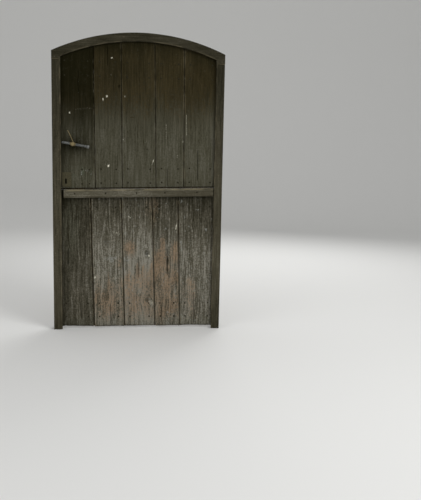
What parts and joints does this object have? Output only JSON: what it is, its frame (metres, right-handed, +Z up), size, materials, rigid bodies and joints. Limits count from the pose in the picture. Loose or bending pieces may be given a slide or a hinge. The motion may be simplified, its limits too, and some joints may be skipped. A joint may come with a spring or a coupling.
{
  "type": "arched wooden door",
  "caption": "Arched boarded door of two inward-opening leaves in a rebated wooden frame, with strap hinges, lever latch, rim lock and slide bolt.",
  "frame": {"origin": "on the sill, in the middle of the opening's width and of the door's depth", "axes": "+X to the right as seen from outside, +Y into the building, +Z up"},
  "size_m": [1, 0.12, 1.7489],
  "materials": {
    "upper_boards": "weathered dark brown, matt",
    "lower_boards": "weathered, worn to bare reddish wood, matt",
    "rail_wood": "weathered olive brown, matt",
    "frame_wood": "weathered dark brown, matt",
    "ledge_wood": "dry brown, matt",
    "strap_iron": "forged, black-brown",
    "rusty_iron": "rusted",
    "lever_steel": "worn grey steel",
    "lock_iron": "old iron, brown"
  },
  "bodies": {
    "frame": {"frame_jamb_lock_side": "frame_wood", "frame_jamb_hinge_side": "frame_wood", "frame_head": "frame_wood", "frame_pegs": "frame_wood", "pintle_upper_top": "strap_iron", "pintle_upper_bottom": "strap_iron", "pintle_lower_top": "strap_iron", "pintle_lower_bottom": "strap_iron", "latch_keeper": "lock_iron", "lock_keeper": "lock_iron", "slide_bolt_keeper": "lock_iron", "keeper_nails": "rusty_iron"},
    "upper_leaf": {"upper_board_1": "upper_boards", "upper_board_2": "upper_boards", "upper_board_3": "upper_boards", "upper_board_4": "upper_boards", "upper_board_5": "upper_boards", "upper_board_nails": "rusty_iron", "upper_ledge_bottom": "ledge_wood", "upper_ledge_top": "ledge_wood", "upper_strap_bottom": "strap_iron", "upper_strap_nails": "strap_iron", "upper_strap_top": "strap_iron", "latch_block": "ledge_wood", "latch_guide": "lock_iron", "latch_guide_nails": "rusty_iron", "escutcheon": "lock_iron", "escutcheon_pins": "rusty_iron", "lock_case": "lock_iron", "lock_stump": "lock_iron", "lock_screws": "rusty_iron"},
    "lower_leaf": {"lower_board_1": "lower_boards", "lower_board_2": "lower_boards", "lower_board_3": "lower_boards", "lower_board_4": "lower_boards", "lower_board_5": "lower_boards", "lower_board_nails": "rusty_iron", "lower_ledge_bottom": "ledge_wood", "lower_ledge_top": "ledge_wood", "lower_strap_bottom": "strap_iron", "lower_strap_nails": "strap_iron", "lower_strap_top": "strap_iron", "mid_rail": "rail_wood", "mid_rail_nails": "rusty_iron", "slide_bolt_staples": "lock_iron", "slide_bolt_staple_nails": "rusty_iron"},
    "latch": {"lever_handle": "lever_steel", "lever_spindle": "lock_iron", "spindle_wire": "rusty_iron", "latch_bar": "lock_iron", "spindle_washer": "lock_iron", "spindle_cotter": "rusty_iron"},
    "lock_bolt": {"lock_bolt": "lock_iron", "lock_spring": "lock_iron"},
    "slide_bolt": {"slide_bolt": "lock_iron", "slide_bolt_knob": "lock_iron"}
  },
  "joints": [
    {"name": "upper_leaf_swing", "type": "hinge", "parent": "frame", "child": "upper_leaf", "pos_m": [0.482, 0.04405, 1.2], "axis": [0, 0, -1], "range_deg": [0, 95]},
    {"name": "lower_leaf_swing", "type": "hinge", "parent": "frame", "child": "lower_leaf", "pos_m": [0.482, 0.04405, 0.45], "axis": [0, 0, -1], "range_deg": [0, 95]},
    {"name": "latch_turn", "type": "hinge", "parent": "upper_leaf", "child": "latch", "pos_m": [-0.382, 0, 1.1075], "axis": [0, -1, 0], "range_deg": [0, 9.3]},
    {"name": "lock_bolt_throw", "type": "slide", "parent": "upper_leaf", "child": "lock_bolt", "axis": [-1, 0, 0], "range_m": [0, 0.028]},
    {"name": "slide_bolt_throw", "type": "slide", "parent": "lower_leaf", "child": "slide_bolt", "axis": [-1, 0, 0], "range_m": [0, 0.032]}
  ]
}
